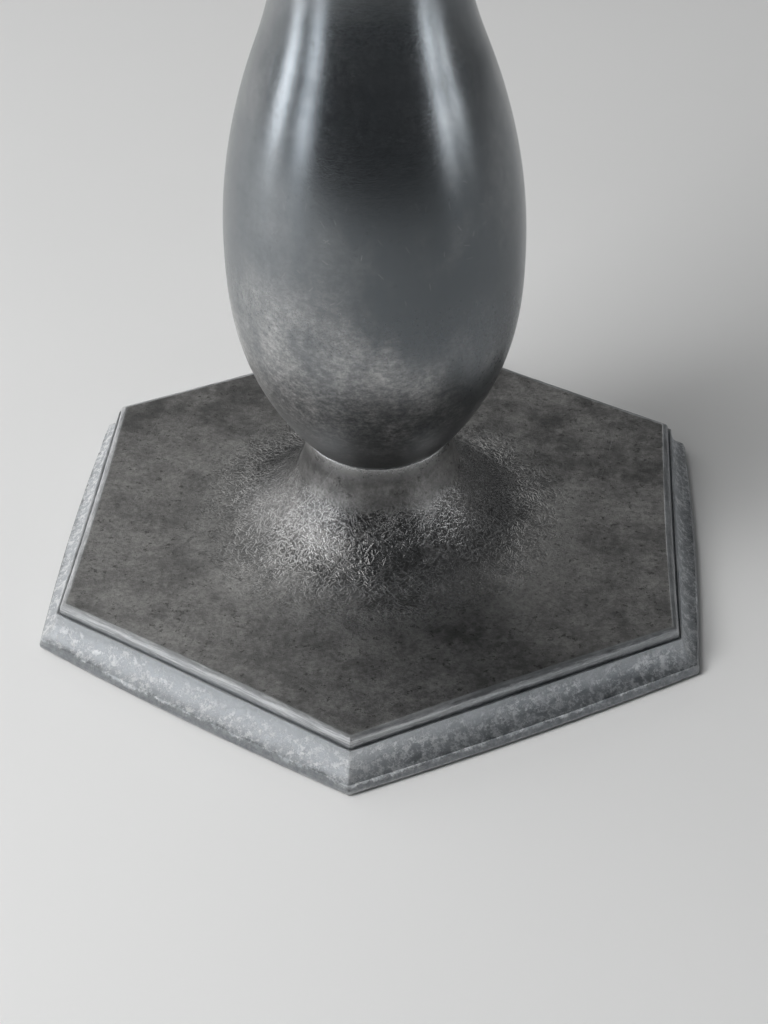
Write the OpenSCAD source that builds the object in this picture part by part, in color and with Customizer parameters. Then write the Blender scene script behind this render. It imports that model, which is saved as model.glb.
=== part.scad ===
// Pewter pillar candle holder. A six-sided cast foot with a moulded edge and a trumpet
// neck carries a hollow vase-shaped body; above it come a turned collar, a flared
// capital and a six-sided pan with a round recess and a spike for one pillar candle.
// One threaded rod draws the whole stack together, and a board with a felt pad closes
// the underside. Millimetres, +Z up, origin on the table below the axis. The corners
// of both six-sided plates lie on the Y axis and their flats face along X.

/* [Foot] */
// Size of the foot across opposite corners
foot_across_corners = 150; // [130:1:190]
// Thickness of the foot's plate behind the moulded edge
foot_plate_wall = 3.5; // [2.5:0.1:5]
// Width of the foot's rim under the moulded edge
foot_rim_w = 4; // [3:0.1:6]
// Width of the ledge that the backing board is glued to
foot_ledge_w = 3; // [2:0.1:6]
// Diameter of the foot's neck where the body sits on it
foot_neck_d = 32; // [30:0.5:40]
// Height of the trumpet from the plate's top to the body's seat
foot_neck_h = 20.8; // [18:0.1:30]
// How far the trumpet's steep hollow reaches out from the neck
foot_cove_w = 15; // [10:0.5:22]
// Diameter at which the trumpet's skirt has died into the plate
foot_skirt_d = 92; // [76:1:104]
// Height of that soft skirt where it meets the neck
foot_skirt_h = 2.4; // [1:0.1:4]
// Thickness of the solid web across the neck
foot_web_h = 8; // [5:0.5:10]
// Thickness of the neck's wall below the web
foot_neck_wall = 3; // [2:0.1:4]

/* [Edge moulding] */
// Radius of the eased corner of the moulding's wide face
ease_r = 0.6; // [0.3:0.1:1]
// Height of the band along the wide face
band_h = 2.7; // [2:0.1:4]
// How far the band leans in over its height
band_lean = 0.5; // [0:0.1:1]
// Height of the long hollow
hollow_h = 4.5; // [3.5:0.1:6]
// How far the long hollow runs in
hollow_w = 3.1; // [2:0.1:3.4]
// Width of the small flat at the end of the hollow
flat_w = 0.35; // [0.2:0.05:1]
// Width of the groove beside the bead
groove_w = 0.45; // [0.3:0.05:1]
// Depth of the groove beside the bead
groove_d = 0.35; // [0.2:0.05:1]
// Radius of the bead along the narrow face
bead_r = 1.1; // [0.6:0.1:1.6]
// Height of the bead above the small flat
bead_h = 2; // [1.7:0.1:3]

/* [Body] */
// Height of the body
body_h = 112; // [90:1:150]
// Diameter of the body at its belly
belly_d = 57.2; // [44:0.2:70]
// Height of the belly above the body's seat
belly_h = 43.5; // [30:0.5:60]
// Diameter of the body's top
body_top_d = 30.8; // [26:0.2:38]
// How full the body is below the belly, where 2 is a plain parabola
lower_fullness = 2.3; // [2:0.1:3]
// Share of the upper part that curves outwards before the curve turns
shoulder_share = 0.58; // [0.4:0.01:0.75]
// Thickness of the body's wall
body_wall = 2.2; // [1.5:0.1:3.5]
// Thickness of the centring discs in the body's two ends
disc_t = 4; // [3:0.5:6]

/* [Collar and capital] */
// Height of the turned collar
collar_h = 7; // [6:0.5:12]
// How far the collar's bead stands out from the body's top
collar_bulge = 3.1; // [2:0.1:6]
// Height of the plain steps below and above the bead
collar_step_h = 1; // [0.6:0.1:1.8]
// Width of the collar's top step round the capital's waist
waist_step_w = 1; // [0.4:0.1:2]
// Height of the capital
capital_h = 22; // [18:0.5:34]
// Diameter of the capital's waist
capital_waist_d = 26; // [24:0.5:30]
// Diameter of the capital where the pan sits
capital_top_d = 54; // [40:0.5:64]
// Thickness of the capital's top edge
capital_edge_h = 1.6; // [1:0.1:3]

/* [Pan] */
// Size of the pan across opposite corners
pan_across_corners = 104; // [98:1:130]
// Diameter of the round recess for the candle
recess_d = 77; // [60:0.5:78]
// Depth of the recess
recess_depth = 5; // [4.6:0.1:5.6]

/* [Spike] */
// Height of the spike above the recess floor
spike_h = 36; // [20:1:50]
// Diameter of the spike at its root
spike_root_d = 7; // [5:0.5:9]
// Radius of the spike's blunted point
spike_point_r = 0.5; // [0.3:0.1:0.8]
// Diameter of the flange that clamps the pan, sunk level with the recess floor
spike_flange_d = 16; // [12:0.5:20]
// Thickness of that flange
spike_flange_h = 1.6; // [1:0.1:2]
// Diameter of the threaded sleeve under the flange
sleeve_d = 8.8; // [8.4:0.1:11]
// Length of the threaded sleeve below the flange
sleeve_l = 13; // [10:0.5:16]
// Depth of solid metal left above the rod inside the sleeve
sleeve_end = 3; // [2:0.5:5]
// Room left under the sleeve inside the capital
sleeve_room = 1; // [0.5:0.1:2]

/* [Rod and fasteners] */
// Diameter of the threaded rod
rod_d = 6; // [5:0.5:6.5]
// Chamfer at the rod's two ends
rod_chamfer = 0.5; // [0.2:0.1:1]
// Length of rod that shows below the nut
rod_tail = 2.7; // [1:0.1:4]
// Width of the nut across its flats
nut_af = 10; // [9:0.5:12]
// Height of the nut
nut_h = 5; // [3:0.5:6]
// Diameter of the spring washer
spring_washer_d = 11; // [10:0.5:14]
// Thickness of the spring washer
spring_washer_t = 1.6; // [1:0.1:2]
// Width of the split in the spring washer
spring_washer_gap = 1.5; // [0.5:0.1:2]
// Thickness of the clamp washer
clamp_washer_t = 2; // [1:0.1:3]
// Diameter of the spigots that centre the body
spigot_d = 12; // [10:0.5:16]
// Height of those spigots
spigot_h = 3; // [1:0.5:3]

/* [Underside] */
// Thickness of the backing board
board_t = 2; // [1:0.1:3]
// Thickness of the felt pad
felt_t = 1.5; // [1:0.1:2]
// How far the felt stands below the foot's rim
felt_proud = 0.3; // [0.1:0.1:0.8]

/* [Fits] */
// Radial clearance of the rod, the sleeve and the flange in their plain holes
hole_clear = 0.2; // [0.1:0.05:0.5]
// Radial clearance between the rod and the threads on it
thread_clear = 0.05; // [0.02:0.01:0.1]
// Radial clearance of the clamp washer in the foot's hollow
washer_clear = 1; // [0.5:0.1:3]
// Radial clearance of spigots and centring discs in their seats
seat_clear = 0.1; // [0.05:0.01:0.2]
// Clearance between the board or felt and the foot's rebate
rebate_clear = 0.3; // [0.2:0.1:1]

/* [Hidden] */
$fn = 96;

// How far a cut runs past the face that it opens
over = 1;
// How far each end bore of the body runs past its disc
bore_over = 0.5;

// Steps along each curved outline
arc_steps = 8;
cove_steps = 14;
body_steps = 22;

// The moulding's height is the height of both plates
plate_h = band_h + hollow_h + bead_h;

// Levels of the stack, from the table up
foot_z = felt_proud;
board_z = felt_t;
rebate_top_z = board_z + board_t;
plate_top_z = foot_z + plate_h;
plate_under_z = plate_top_z - foot_plate_wall;
seat_z = plate_top_z + foot_neck_h;
web_z = seat_z - foot_web_h;
belly_z = seat_z + belly_h;
body_top_z = seat_z + body_h;
collar_top_z = body_top_z + collar_h;
pan_z = collar_top_z + capital_h;
pan_top_z = pan_z + plate_h;
floor_z = pan_top_z - recess_depth;
flange_z = floor_z - spike_flange_h;

// The fasteners hang under the web
clamp_washer_z = web_z - clamp_washer_t;
spring_washer_z = clamp_washer_z - spring_washer_t;
nut_z = spring_washer_z - nut_h;
rod_z = nut_z - rod_tail;
rod_top_z = flange_z - sleeve_end;

foot_neck_r = foot_neck_d / 2;
foot_skirt_r = foot_skirt_d / 2;
foot_hollow_top_r = foot_neck_r - foot_neck_wall;
foot_hollow_base_r = foot_neck_r + foot_cove_w / 2;
rod_hole_r = rod_d / 2 + hole_clear;
thread_r = rod_d / 2 + thread_clear;
sleeve_hole_r = sleeve_d / 2 + hole_clear;
spigot_hole_r = spigot_d / 2 + seat_clear;
lower_bore_r = foot_neck_d / 2 - body_wall;
upper_bore_r = body_top_d / 2 - body_wall;

// Distance from the axis to a flat of a hexagon of this size across corners
function apothem(across_corners) = across_corners / 2 * cos(30);

// Moulded edge as [inset from the wide face, height], from the wide face to the bead's top
function edge_points() = let (
        hollow_end = band_lean + hollow_w,
        hollow_top = band_h + hollow_h,
        hollow_r = (hollow_w * hollow_w + hollow_h * hollow_h) / (2 * hollow_w),
        hollow_angle = asin(hollow_h / hollow_r),
        bead_start = hollow_end + flat_w + groove_w
    ) concat(
        [for (i = [0 : arc_steps / 2]) let (a = 180 * i / arc_steps)
            [ease_r * (1 - sin(a)), ease_r * (1 - cos(a))]],
        [for (i = [0 : arc_steps]) let (a = hollow_angle * (1 - i / arc_steps))
            [hollow_end - hollow_r * (1 - cos(a)), hollow_top - hollow_r * sin(a)]],
        [[hollow_end + flat_w, hollow_top]],
        [[hollow_end + flat_w + groove_w / 2, hollow_top - groove_d]],
        [[bead_start, hollow_top]],
        [for (i = [0 : arc_steps]) let (a = 90 * i / arc_steps)
            [bead_start + bead_r * (1 - cos(a)), hollow_top + bead_h - bead_r * (1 - sin(a))]]
    );

// Top of the trumpet above the plate at a distance r from the axis: an elliptical
// hollow of width foot_cove_w on a soft parabolic skirt
function trumpet_h(r) = let (
        s = max(0, 1 - (r - foot_neck_r) / foot_cove_w),
        k = max(0, 1 - (r - foot_neck_r) / (foot_skirt_r - foot_neck_r))
    ) (foot_neck_h - foot_skirt_h) * (1 - sqrt(1 - s * s)) + foot_skirt_h * k * k;

// Outer radius of the body at height h above its seat: a power curve below the belly,
// and two parabolas that meet at shoulder_share of the way from the belly to the top
function body_r(h) = h < belly_h
    ? belly_d / 2 - (belly_d - foot_neck_d) / 2 * pow(1 - h / belly_h, lower_fullness)
    : let (t = (h - belly_h) / (body_h - belly_h), drop = (belly_d - body_top_d) / 2)
        belly_d / 2 - drop * (t < shoulder_share
            ? t * t / shoulder_share
            : 1 - (1 - t) * (1 - t) / (1 - shoulder_share));

// Hexagonal prism with its corners on the Y axis, from its distance to a flat
module hex_prism(flat_r, h) {
    rotate([0, 0, 30]) cylinder(r = flat_r / cos(30), h = h, $fn = 6);
}

// Six-sided plate with the moulded edge all round: three straight lengths of the same
// section, turned 60 degrees from each other, kept where all three overlap, which
// mitres the moulding at every corner
module moulded_plate(across_corners) {
    half = apothem(across_corners);
    points = edge_points();
    last = len(points) - 1;
    right = [for (p = points) [half - p[0], p[1]]];
    left = [for (i = [0 : last]) [points[last - i][0] - half, points[last - i][1]]];
    intersection_for (turn = [0, 60, 120])
        rotate([90, 0, turn])
            linear_extrude(height = 2 * across_corners, center = true)
                polygon(concat(right, left));
}

// Ring with a plain hole
module washer(outer_d, hole_r, t) {
    difference() {
        cylinder(d = outer_d, h = t);
        translate([0, 0, -over]) cylinder(r = hole_r, h = t + 2 * over);
    }
}

// Disc that closes one end of the body and centres it on a spigot
module centring_disc(bore_r) {
    washer(2 * (bore_r - seat_clear), spigot_hole_r, disc_t);
}

module trumpet() {
    bury = foot_plate_wall / 2;
    points = concat(
        [[0, -bury], [foot_skirt_r, -bury]],
        [for (i = [0 : cove_steps]) let (
                x = 1 - i / cove_steps,
                r = foot_neck_r + (foot_skirt_r - foot_neck_r) * x * x
            ) [r, trumpet_h(r)]],
        [[0, foot_neck_h]]
    );
    rotate_extrude() polygon(points);
}

module foot() {
    flat_r = apothem(foot_across_corners) - foot_rim_w;
    color([0.31, 0.31, 0.31]) difference() {
        union() {
            translate([0, 0, foot_z]) moulded_plate(foot_across_corners);
            translate([0, 0, plate_top_z]) trumpet();
            translate([0, 0, seat_z - over]) cylinder(d = spigot_d, h = spigot_h + over);
        }
        translate([0, 0, foot_z - over])
            hex_prism(flat_r, rebate_top_z - foot_z + over);
        translate([0, 0, rebate_top_z - over])
            hex_prism(flat_r - foot_ledge_w, plate_under_z - rebate_top_z + over);
        translate([0, 0, plate_under_z - over])
            cylinder(r = foot_hollow_base_r, h = over);
        translate([0, 0, plate_under_z])
            cylinder(r1 = foot_hollow_base_r, r2 = foot_hollow_top_r, h = web_z - plate_under_z);
        translate([0, 0, web_z - over])
            cylinder(r = rod_hole_r, h = foot_web_h + spigot_h + 2 * over);
    }
}

module felt_pad() {
    color([0.10, 0.16, 0.12])
        hex_prism(apothem(foot_across_corners) - foot_rim_w - rebate_clear, felt_t);
}

module backing_board() {
    color([0.45, 0.36, 0.26]) translate([0, 0, board_z])
        hex_prism(apothem(foot_across_corners) - foot_rim_w - rebate_clear, board_t);
}

module clamp_washer() {
    color([0.60, 0.60, 0.58]) translate([0, 0, clamp_washer_z])
        washer(2 * (foot_hollow_top_r - washer_clear), rod_hole_r, clamp_washer_t);
}

module spring_washer() {
    color([0.45, 0.45, 0.45]) translate([0, 0, spring_washer_z]) difference() {
        washer(spring_washer_d, rod_hole_r, spring_washer_t);
        translate([0, -spring_washer_gap / 2, -over])
            cube([spring_washer_d, spring_washer_gap, spring_washer_t + 2 * over]);
    }
}

module hex_nut() {
    color([0.60, 0.60, 0.58]) translate([0, 0, nut_z]) difference() {
        hex_prism(nut_af / 2, nut_h);
        translate([0, 0, -over]) cylinder(r = thread_r, h = nut_h + 2 * over);
    }
}

module tie_rod() {
    rod_l = rod_top_z - rod_z;
    color([0.62, 0.62, 0.60]) translate([0, 0, rod_z]) rotate_extrude() polygon([
        [0, 0],
        [rod_d / 2 - rod_chamfer, 0],
        [rod_d / 2, rod_chamfer],
        [rod_d / 2, rod_l - rod_chamfer],
        [rod_d / 2 - rod_chamfer, rod_l],
        [0, rod_l]
    ]);
}

module lower_disc() {
    color([0.40, 0.40, 0.41]) translate([0, 0, seat_z]) centring_disc(lower_bore_r);
}

// Hollow vase: the outer outline up, then the inner one down, each end bored straight
// over the thickness of its centring disc
module body() {
    inner_base = disc_t + bore_over;
    inner_top = body_h - disc_t - bore_over;
    outer = [for (i = [0 : 2 * body_steps]) let (h = body_h * i / (2 * body_steps))
        [body_r(h), h]];
    inner = [for (i = [0 : body_steps])
        let (h = inner_top - (inner_top - inner_base) * i / body_steps)
        [body_r(h) - body_wall, h]];
    color([0.34, 0.36, 0.38]) translate([0, 0, seat_z]) rotate_extrude() polygon(concat(
        outer,
        [[upper_bore_r, body_h], [upper_bore_r, inner_top]],
        inner,
        [[lower_bore_r, inner_base], [lower_bore_r, 0]]
    ));
}

module upper_disc() {
    color([0.40, 0.40, 0.41]) translate([0, 0, body_top_z - disc_t])
        centring_disc(upper_bore_r);
}

module collar() {
    step_r = body_top_d / 2;
    top_step_r = capital_waist_d / 2 + waist_step_w;
    bead_half_h = collar_h / 2 - collar_step_h;
    color([0.42, 0.44, 0.46]) translate([0, 0, body_top_z]) difference() {
        union() {
            rotate_extrude() polygon(concat(
                [[0, 0], [step_r, 0]],
                [for (i = [0 : 2 * arc_steps]) let (a = -90 + 90 * i / arc_steps)
                    [step_r + collar_bulge * cos(a), collar_h / 2 + bead_half_h * sin(a)]],
                [[top_step_r, collar_h - collar_step_h], [top_step_r, collar_h]],
                [[0, collar_h]]
            ));
            translate([0, 0, -spigot_h]) cylinder(d = spigot_d, h = spigot_h + over);
        }
        translate([0, 0, -spigot_h - over])
            cylinder(r = rod_hole_r, h = collar_h + spigot_h + 2 * over);
    }
}

module capital() {
    flare_h = capital_h - capital_edge_h;
    flare_w = (capital_top_d - capital_waist_d) / 2;
    sleeve_hole_l = sleeve_l - (flange_z - pan_z) + sleeve_room;
    color([0.36, 0.37, 0.39]) translate([0, 0, collar_top_z]) difference() {
        rotate_extrude() polygon(concat(
            [[0, 0]],
            [for (i = [0 : cove_steps]) let (a = 90 * i / cove_steps)
                [capital_waist_d / 2 + flare_w * (1 - cos(a)), flare_h * sin(a)]],
            [[capital_top_d / 2, capital_h], [0, capital_h]]
        ));
        translate([0, 0, -over]) cylinder(r = rod_hole_r, h = capital_h + 2 * over);
        translate([0, 0, capital_h - sleeve_hole_l])
            cylinder(r = sleeve_hole_r, h = sleeve_hole_l + over);
    }
}

// The pan has the foot's moulding upside down, so that its wide band is at the top
module pan() {
    color([0.31, 0.31, 0.32]) difference() {
        translate([0, 0, pan_top_z]) mirror([0, 0, 1]) moulded_plate(pan_across_corners);
        translate([0, 0, floor_z]) cylinder(d = recess_d, h = recess_depth + over);
        translate([0, 0, flange_z])
            cylinder(r = spike_flange_d / 2 + hole_clear, h = spike_flange_h + over);
        translate([0, 0, pan_z - over]) cylinder(r = sleeve_hole_r, h = plate_h);
    }
}

module spike() {
    thread_l = sleeve_l - sleeve_end + thread_clear;
    point_h = spike_flange_h + spike_h;
    color([0.48, 0.49, 0.50]) translate([0, 0, flange_z]) difference() {
        rotate_extrude() polygon([
            [0, -sleeve_l],
            [sleeve_d / 2, -sleeve_l],
            [sleeve_d / 2, 0],
            [spike_flange_d / 2, 0],
            [spike_flange_d / 2, spike_flange_h / 2],
            [spike_root_d / 2, spike_flange_h],
            [spike_point_r, point_h - spike_point_r],
            [spike_point_r / 2, point_h],
            [0, point_h]
        ]);
        translate([0, 0, -sleeve_l - over]) cylinder(r = thread_r, h = thread_l + over);
    }
}

foot();
felt_pad();
backing_board();
clamp_washer();
spring_washer();
hex_nut();
tie_rod();
lower_disc();
body();
upper_disc();
collar();
capital();
pan();
spike();
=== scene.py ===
"""Six-sided pewter pillar candle holder: its seen surfaces, their finishes, the light and the camera."""

import math

import bpy
import numpy as np
from mathutils import Matrix, Vector


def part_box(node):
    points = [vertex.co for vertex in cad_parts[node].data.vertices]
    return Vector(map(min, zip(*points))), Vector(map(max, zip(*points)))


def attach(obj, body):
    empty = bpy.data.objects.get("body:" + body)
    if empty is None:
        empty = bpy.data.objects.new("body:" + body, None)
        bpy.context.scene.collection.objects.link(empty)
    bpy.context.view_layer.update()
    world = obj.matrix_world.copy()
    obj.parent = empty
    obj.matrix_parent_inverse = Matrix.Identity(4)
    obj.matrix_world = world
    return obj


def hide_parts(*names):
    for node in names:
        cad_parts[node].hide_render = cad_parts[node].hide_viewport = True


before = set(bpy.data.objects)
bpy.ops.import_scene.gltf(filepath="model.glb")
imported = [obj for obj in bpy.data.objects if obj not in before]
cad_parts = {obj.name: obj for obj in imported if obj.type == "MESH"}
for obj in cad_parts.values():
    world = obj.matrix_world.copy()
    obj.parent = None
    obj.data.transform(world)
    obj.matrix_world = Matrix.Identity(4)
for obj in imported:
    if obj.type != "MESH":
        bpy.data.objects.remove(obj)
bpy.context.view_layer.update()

# ---------------------------------------------------------------- sizes, in millimetres


def span(node):
    """Lowest and highest corner of one CAD part, in millimetres."""
    low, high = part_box(node)
    return np.array(low) * 1000.0, np.array(high) * 1000.0


foot_low, foot_high = span("foot")
felt_low, felt_high = span("felt_pad")
body_low, body_high = span("body")
collar_high = span("collar")[1]
capital_low, capital_high = span("capital")
pan_low, pan_high = span("pan")
spike_low, spike_high = span("spike")

FOOT_FLAT = foot_high[0]  # middle of the foot to one of its flat sides
FOOT_Z = foot_low[2]
SEAT_Z = body_low[2]  # where the body stands on the neck of the foot
BODY_TOP_Z = body_high[2]
BOARD_TOP_Z = span("backing_board")[1][2]
PAN_FLAT = pan_high[0]
PAN_TOP_Z = pan_high[2]
PAN_UNDER_Z = pan_low[2]

EASE_R = 0.6  # rounding of the outermost edge
BAND_H = 2.2
BAND_LEAN = 0.5
HOLLOW_H = 5.0
HOLLOW_W = 3.1
FLAT_W = 0.35
GROOVE_W = 0.45
GROOVE_D = 0.28
BEAD_R = 1.1
BEAD_H = 2.0
MOULDING_H = BAND_H + HOLLOW_H + BEAD_H
MOULDING_W = BAND_LEAN + HOLLOW_W + FLAT_W + GROOVE_W + BEAD_R
BOW = (0.9, -0.5)  # how far the middle of each side of the foot stands out, at its outer and inner edge
KNOCKED = 0.07  # unevenness of the band's upper edge
DENTED = 0.06  # unevenness of the moulding in plan
BURR = 0.10  # unevenness of the plate's edge behind the bead

# the moulding's rows by letter: e eased edge, b band, h hollow, r flat, g groove, o bead
FOOT_WEAR = {"b": 0.1, "e": 0.3, "h": 0.0, "r": 0.6, "g": 0.0, "o": 0.8}
PAN_WEAR = {"b": 0.2, "e": 0.6, "h": 0.0, "r": 0.8, "g": 0.0, "o": 0.4}
DENT_SHARE = {"b": 0.5, "e": 0.6, "h": 0.3, "r": 1.0, "g": 0.4, "o": 0.9}
PLAIN_ROW = {"rim": 0.0, "wear": 0.0, "peen": 0.0, "seam": 0.0, "pit": 0.0, "up": 20.0}

NECK_R = 14.6  # the seen neck and body base are 1.4 slimmer than the solids, as the seam shows
COVE_W = 16.4
SKIRT_W = 31.4
SKIRT_H = 2.4
NECK_H = 20.8
NECK_EDGE_R = 0.35
MARKS_START = (0.7, 3.0)  # distance out from the neck where the struck marks come in
MARKS_END = (27.0, 45.0)  # distance from the axis where they die away
FOOT_RIM_W = 4.0
FOOT_LEDGE_W = 3.0
FOOT_PLATE_WALL = 3.5
FOOT_WEB_H = 8.0
FOOT_CAVITY_R = (23.5, 13.0)
ROD_HOLE_R = 3.2
SPIGOT_R = 6.0
SPIGOT_H = 3.0

BELLY_R = 28.6
BELLY_H = 43.5
BODY_BASE_R = 14.6
BODY_TOP_R = 15.4
LOWER_FULLNESS = 2.6
SHOULDER_SHARE = 0.58
BODY_WALL = 2.2
BODY_END = 4.5
BODY_BORE_R = (13.8, 13.2)
BODY_EDGE_R = 0.45
OUT_OF_ROUND = 0.05
SEAM_FADE = (0.3, 5.0)  # heights above the seat between which each painted value changes
BASE_FADE = (5.0, 17.0)
PALE_FADE = (14.0, 54.0)
DARK_REFLECTION_RISE = (14.0, 50.0)
DARK_REFLECTION_FALL = (62.0, 84.0)
DARK_REFLECTION_SPREAD = (math.radians(14), math.radians(70))  # angles either side of the darkest part of the painted dark reflection
DARK_REFLECTION_ANGLE = math.radians(-72.0)  # where the painted dark reflection on the body is darkest, round the axis
PAINTED_LIGHT_ANGLE = math.radians(-160.0)  # and where its lower part is painted palest, as painted light where the bright table is reflected

COLLAR_H = 7.0
COLLAR_STEP = (15.4, 1.0)  # radius and height of the lower step
COLLAR_BEAD = (3.1, 2.5)  # how far the half-round bead stands out, and half its height
COLLAR_TOP_R = 14.0
WAIST_R = 13.0
CAPITAL_RIM_R = 27.0
FLARE_H = 20.4
SLEEVE_SINK = 11.4  # depth of the wide bore in the capital
TURNED_EDGE = 0.2  # small bevel on turned edges

PAN_DENTED = 0.05
RECESS_R = 38.5
RECESS_DEPTH = 5.0
FLANGE_SEAT_R = 8.2
FLANGE_SEAT_D = 1.6
SLEEVE_HOLE_R = 4.6
RECESS_EDGE_R = 0.4

SLEEVE_R = (3.05, 4.4)  # inside and outside
SLEEVE_BORE = 10.05
FLANGE_R = 8.0
FLANGE_H = 0.8
CONE_R = (3.5, 0.5)  # at the flange and at the point
CONE_H = 35.5
SPIKE_H = 37.6
SPIKE_TIP = [(0.42, 0.25), (0.25, 0.05)]  # radius and depth below the point

FELT_EDGE_R = 0.35
FELT_CORNER_R = 1.2

CORNER_ROUND = 0.6  # how round the six corners are
CORNER_ZONE = math.radians(0.42)  # angle each side of a corner that gets closer steps

WHITE = (1.0, 1.0, 1.0, 1.0)
BACKDROP = 0.62  # brightness of what lies beyond the table
TABLE_FADE = (650.0, 1700.0)  # where the table passes into the backdrop

# ---------------------------------------------------------------- surfaces


def hexagon_turns(per_side):
    """Angles round the axis, in radians: even steps along each side, and close steps at each corner."""
    half = math.radians(30)
    even = np.arctan(np.linspace(-1, 1, per_side) * math.tan(half - CORNER_ZONE))
    near = half - CORNER_ZONE * np.array([0.75, 0.5, 0.25])
    off = np.concatenate([[-half], -near[::-1], even, near])
    side = np.radians(60.0) * np.arange(6)[:, None]
    return (side + off[None, :]).ravel(), np.tile(off, 6)


def hexagon_reach(flat, corner, off):
    """Distance out to a hexagon with rounded corners: flat / cos(off) along a side, and near a corner
    d cos(p) + sqrt(c^2 - d^2 sin(p)^2), with p the angle from the corner, c the rounding and d where its
    middle lies."""
    half = math.radians(30)
    middle = (flat - corner) / math.cos(half)
    from_corner = half - np.abs(off)
    joins_at = math.atan2(corner * math.sin(half), middle + corner * math.cos(half))
    under = np.maximum(corner**2 - (middle * np.sin(from_corner)) ** 2, 0.0)
    arc = middle * np.cos(from_corner) + np.sqrt(under)
    return np.where(from_corner < joins_at, arc, flat / np.cos(off))


def wobble(turn, seed, waves, size):
    """A small uneven amount at each angle: sines of whole-number frequencies, falling in strength."""
    rng = np.random.default_rng(seed)
    count = np.arange(2, waves)
    phase = rng.uniform(0, 2 * math.pi, count.size)
    strength = rng.normal(0, 1, count.size) / count**0.35
    total = (strength[:, None] * np.sin(count[:, None] * turn[None, :] + phase[:, None])).sum(0)
    return size * total / np.abs(total).max()


def ring(radius, height, turn):
    """One closed row of points at the given distance out and height."""
    radius = np.broadcast_to(radius, turn.shape)
    height = np.broadcast_to(height, turn.shape)
    return np.stack([radius * np.cos(turn), radius * np.sin(turn), height], axis=1)


def surface(name, grid, finish, low_pole=None, high_pole=None, masks=None, crease=34.0):
    """A closed surface over a grid of points (profile row, step round the axis) in millimetres. Rows join
    all the way round; the last row joins the first unless both ends close on a pole point. The profile runs
    anticlockwise seen with the axis on its left, which makes every face look outward."""
    rows, steps, _ = grid.shape
    index = np.arange(rows * steps).reshape(rows, steps)
    looped = low_pole is None
    lower = index if looped else index[:-1]
    upper = np.roll(index, -1, 0) if looped else index[1:]
    quads = np.stack([lower, np.roll(lower, -1, 1), np.roll(upper, -1, 1), upper], -1).reshape(-1, 4)
    points = grid.reshape(-1, 3)
    faces = quads.tolist()
    if not looped:
        points = np.vstack([points, low_pole, high_pole])
        first, last = index[0], index[-1]
        foot_fan = np.stack([np.roll(first, -1), first, np.full(steps, rows * steps)], -1)
        head_fan = np.stack([last, np.roll(last, -1), np.full(steps, rows * steps + 1)], -1)
        faces += foot_fan.tolist() + head_fan.tolist()
    mesh = bpy.data.meshes.new(name)
    mesh.from_pydata((points / 1000.0).tolist(), [], faces)
    for key, rows_of_values in (masks or {}).items():
        values = np.zeros(len(points), np.float32)
        spread = np.broadcast_to(np.asarray(rows_of_values).reshape(rows, -1), (rows, steps))
        values[: rows * steps] = spread.ravel()
        mesh.attributes.new(key, "FLOAT", "POINT").data.foreach_set("value", values)
    mesh.shade_smooth()
    mesh.set_sharp_from_angle(angle=math.radians(crease))
    mesh.materials.append(finish)
    piece = bpy.data.objects.new(name, mesh)
    bpy.context.scene.collection.objects.link(piece)
    return piece


def along(start, end, steps, last=False):
    """Straight run of profile points from start to end, with or without the last."""
    share = np.linspace(0, 1, steps + 1)[: None if last else -1, None]
    return np.array(start) + share * (np.array(end) - np.array(start))


def moulding():
    """Edge moulding as rows of (distance in from the widest line, height above its base), from the outer
    bottom edge to the top face: an eased edge, a leaning band, a hollow (a circular arc that starts steep
    and ends upright), a narrow flat, a small groove and a quarter-round bead. Second result: a letter for
    each row."""
    ease = np.radians(np.linspace(0, 90, 6))
    rows = [np.stack([EASE_R * (1 - np.sin(ease)), EASE_R * (1 - np.cos(ease))], 1)]
    names = ["e"] * 6
    arc_r = (HOLLOW_W**2 + HOLLOW_H**2) / (2 * HOLLOW_W)
    hollow_in = BAND_LEAN + HOLLOW_W
    hollow_top = BAND_H + HOLLOW_H
    angle = np.linspace(math.asin(HOLLOW_H / arc_r), 0, 22)
    hollow = np.stack([hollow_in - arc_r * (1 - np.cos(angle)), hollow_top - arc_r * np.sin(angle)], 1)
    rows.append(along((0.03, EASE_R + 0.3), hollow[0] - (0.02, 0.12), 6, True))
    names += ["b"] * 7
    rows.append(hollow)
    names += ["h"] * 22
    flat_end = hollow_in + FLAT_W
    rows.append(np.array([[hollow_in + 0.08, hollow_top + 0.05], [flat_end - 0.05, hollow_top + 0.02]]))
    names += ["r"] * 2
    rows.append(np.array([[flat_end + GROOVE_W * share, hollow_top - GROOVE_D] for share in (0.35, 0.65)]))
    names += ["g"] * 2
    bead_at = flat_end + GROOVE_W
    turn = np.radians(np.linspace(8, 90, 10))
    bead_height = hollow_top + BEAD_H - BEAD_R * (1 - np.sin(turn))
    rows.append(np.stack([bead_at + BEAD_R * (1 - np.cos(turn)), bead_height], 1))
    names += ["o"] * 10
    return np.vstack(rows), np.array(names)


def trumpet(radius):
    """Height of the foot's neck above its plate: a quarter-circle flare with a low skirt round it."""
    near = np.clip(1 - (radius - NECK_R) / COVE_W, 0, 1)
    skirt = np.clip(1 - (radius - NECK_R) / SKIRT_W, 0, 1)
    return (NECK_H - SKIRT_H) * (1 - np.sqrt(1 - near**2)) + SKIRT_H * skirt**2


def smooth_step(value, low, high):
    """0 below low, 1 above high, and 3t^2 - 2t^3 between."""
    t = np.clip((value - low) / (high - low), 0, 1)
    return t * t * (3 - 2 * t)


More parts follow.
